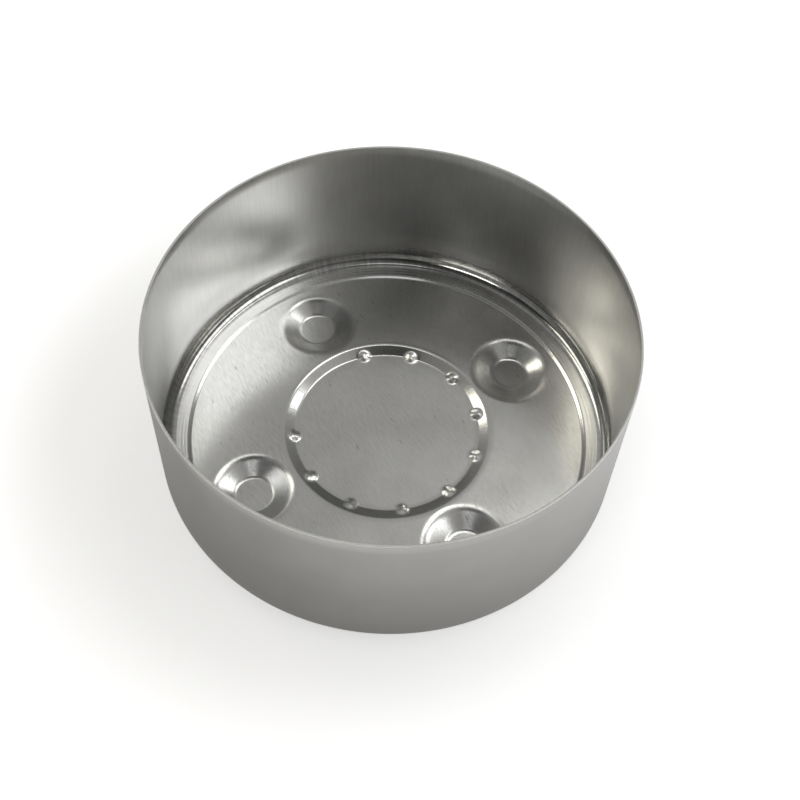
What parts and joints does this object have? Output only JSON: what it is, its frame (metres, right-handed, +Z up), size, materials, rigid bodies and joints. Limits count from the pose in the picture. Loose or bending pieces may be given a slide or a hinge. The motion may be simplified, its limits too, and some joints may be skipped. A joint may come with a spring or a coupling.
{
  "type": "drawn metal cup",
  "caption": "Shallow round deep drawn sheet-metal cup with a straight wall, plain trimmed rim, rounded bottom corner, recessed floor centre and pressed feet.",
  "frame": {"origin": "on the cup's axis, in the plane of the feet it stands on", "axes": "+Z up along the axis, out of the open mouth; the feet lie on the diagonals between X and Y"},
  "size_m": [0.1, 0.1, 0.0413],
  "materials": {
    "cup_metal": "bare mill finish: satin, with straight rolling grain on the floor and drawing marks up the wall"
  },
  "bodies": {
    "root": {"drawn_cup": "cup_metal"}
  },
  "joints": []
}
